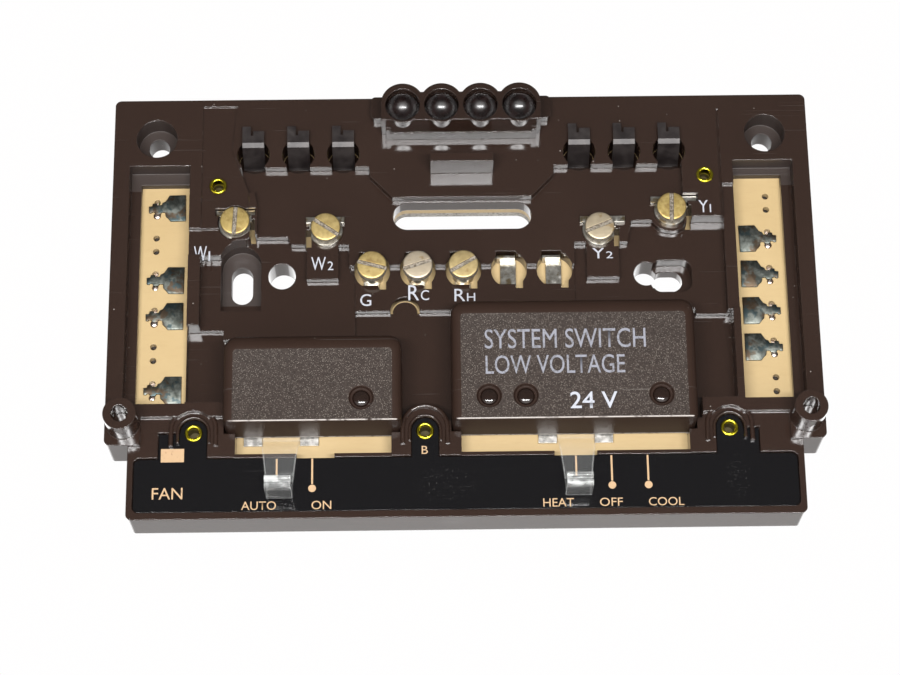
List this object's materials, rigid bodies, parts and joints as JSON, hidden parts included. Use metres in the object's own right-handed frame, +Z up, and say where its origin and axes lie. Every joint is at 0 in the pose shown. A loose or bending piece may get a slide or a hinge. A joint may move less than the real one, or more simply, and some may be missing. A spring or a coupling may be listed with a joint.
{
  "type": "thermostat switching subbase",
  "caption": "Flat wall plate of a low-voltage thermostat: screw terminals, side contacts, lamp sockets, two slide switches with clear levers and a dark legend strip.",
  "frame": {"origin": "centre of the plate's width and height on its back face, which lies against the wall", "axes": "+Z up, -Y out of the wall towards the user, +X to the user's right"},
  "size_m": [0.14, 0.017, 0.0882],
  "materials": {
    "base_plastic": "glossy dark brown moulding with fine scratches",
    "board": "tan laminate, satin",
    "legend_panel": "near-black gloss with scuffs",
    "gasket": "pale grey closed foam",
    "housing_plastic": "glossy dark brown",
    "cover_plastic": "fine grained front, glossy sides",
    "clear_plastic": "clear moulding",
    "wiper_metal": "bright strip",
    "spring_steel": "satin spring strip",
    "eyelet_brass": "polished",
    "screw_brass": "dull brass, some heads paler",
    "rivet_plastic": "staked plastic",
    "contact_metal": "tarnished tin plate",
    "finger_metal": "dull tin plate",
    "lug_metal": "bright tin plate",
    "lamp_lens": "dark clear lens"
  },
  "bodies": {
    "plate": {"base_plate": "base_plastic", "circuit_board": "board", "label_panel": "legend_panel", "wall_gasket": "gasket", "lamp_housing": "housing_plastic", "fan_cover": "cover_plastic", "system_cover": "cover_plastic", "fan_detent_spring": "spring_steel", "system_detent_spring": "spring_steel", "brass_eyelets": "eyelet_brass", "terminal_screws": "screw_brass", "cover_rivets": "rivet_plastic", "left_contact_1": "contact_metal", "left_contact_2": "contact_metal", "left_contact_3": "contact_metal", "left_contact_4": "contact_metal", "right_contact_1": "contact_metal", "right_contact_2": "contact_metal", "right_contact_3": "contact_metal", "right_contact_4": "contact_metal", "contact_finger_1": "finger_metal", "contact_finger_2": "finger_metal", "contact_finger_3": "finger_metal", "contact_finger_4": "finger_metal", "contact_finger_5": "finger_metal", "contact_finger_6": "finger_metal", "lug_w1": "lug_metal", "lug_w2": "lug_metal", "lug_y2": "lug_metal", "lug_y1": "lug_metal", "lug_g": "lug_metal", "lug_rc": "lug_metal", "lug_rh": "lug_metal", "lug_spare_1": "lug_metal", "lug_spare_2": "lug_metal", "indicator_lamp_1": "lamp_lens", "indicator_lamp_2": "lamp_lens", "indicator_lamp_3": "lamp_lens", "indicator_lamp_4": "lamp_lens"},
    "fan_slide": {"fan_lever": "clear_plastic", "fan_wiper": "wiper_metal"},
    "system_slide": {"system_lever": "clear_plastic", "system_wiper": "wiper_metal"}
  },
  "joints": [
    {"name": "fan_switch", "type": "slide", "parent": "plate", "child": "fan_slide", "axis": [1, 0, 0], "range_m": [0, 0.007]},
    {"name": "system_switch", "type": "slide", "parent": "plate", "child": "system_slide", "axis": [1, 0, 0], "range_m": [0, 0.014]}
  ]
}
